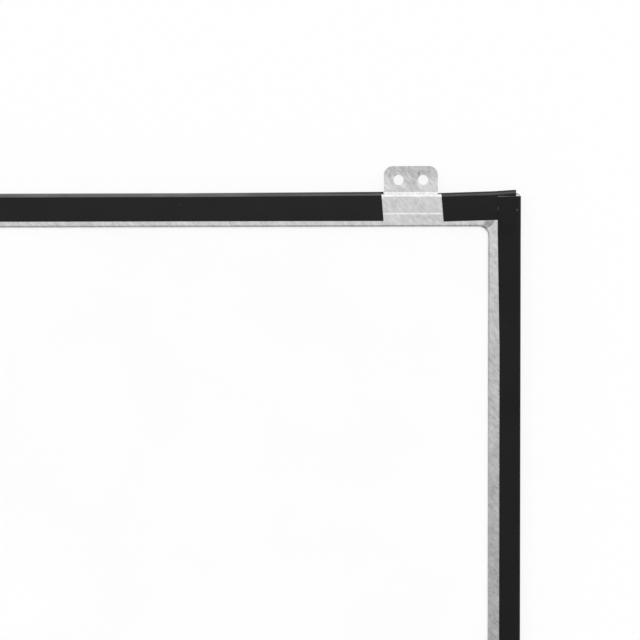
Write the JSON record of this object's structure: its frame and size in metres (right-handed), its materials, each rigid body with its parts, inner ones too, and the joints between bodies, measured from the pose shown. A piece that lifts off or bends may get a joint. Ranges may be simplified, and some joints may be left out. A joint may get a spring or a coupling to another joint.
{
  "type": "laptop screen panel",
  "caption": "Slim edge-lit laptop screen panel seen from behind: white reflector in a stamped steel frame with screw ears, edges wrapped in black tape.",
  "frame": {"origin": "centre of the panel's outline, on the front face that it lies on", "axes": "+X to the right and +Y to the top edge as seen from behind, +Z out of the back"},
  "size_m": [0.3594, 0.2238, 0.0052],
  "materials": {
    "steel": "galvanised sheet, mottled, half matt",
    "black_tape": "matt black polyester tape",
    "black_mould": "fine matt black moulding",
    "reflector": "matt white sheet",
    "polarizer": "dark film with an anti-glare face",
    "glass": "clear thin glass",
    "optical_film": "translucent film",
    "light_guide": "clear polished plate",
    "flex": "amber flexible circuit",
    "led": "pale yellow resin",
    "board": "green solder mask",
    "chip": "black moulding compound",
    "inductor": "dark grey ferrite",
    "capacitor": "tan fired body",
    "adhesive": "double-sided adhesive",
    "connector_body": "beige moulding",
    "connector_steel": "tinned steel",
    "contact": "gold flash"
  },
  "bodies": {
    "root": {"front_polarizer": "polarizer", "rear_polarizer": "polarizer", "colour_filter_glass": "glass", "tft_glass": "glass", "cell_rim_tape": "black_tape", "upper_prism_sheet": "optical_film", "lower_prism_sheet": "optical_film", "diffuser_sheet": "optical_film", "light_guide_plate": "light_guide", "reflector_sheet": "reflector", "led_strip": "flex", "backlight_leds": "led", "mould_frame": "black_mould", "rear_frame": "steel", "board_adhesive": "adhesive", "control_board": "board", "timing_controller": "chip", "power_chip": "chip", "backlight_chip": "chip", "memory_chip": "chip", "power_inductors": "inductor", "board_capacitors": "capacitor", "led_socket": "connector_body", "connector_housing": "connector_body", "connector_shell": "connector_steel", "connector_contacts": "contact", "board_cover_film": "black_tape", "driver_film_1": "flex", "driver_chip_1": "chip", "driver_film_2": "flex", "driver_chip_2": "chip", "driver_film_3": "flex", "driver_chip_3": "chip", "driver_film_4": "flex", "driver_chip_4": "chip", "top_left_tape": "black_tape", "top_middle_tape": "black_tape", "top_right_tape": "black_tape", "left_side_tape": "black_tape", "right_side_tape": "black_tape", "bottom_left_tape": "black_tape", "bottom_right_tape": "black_tape"}
  },
  "joints": []
}
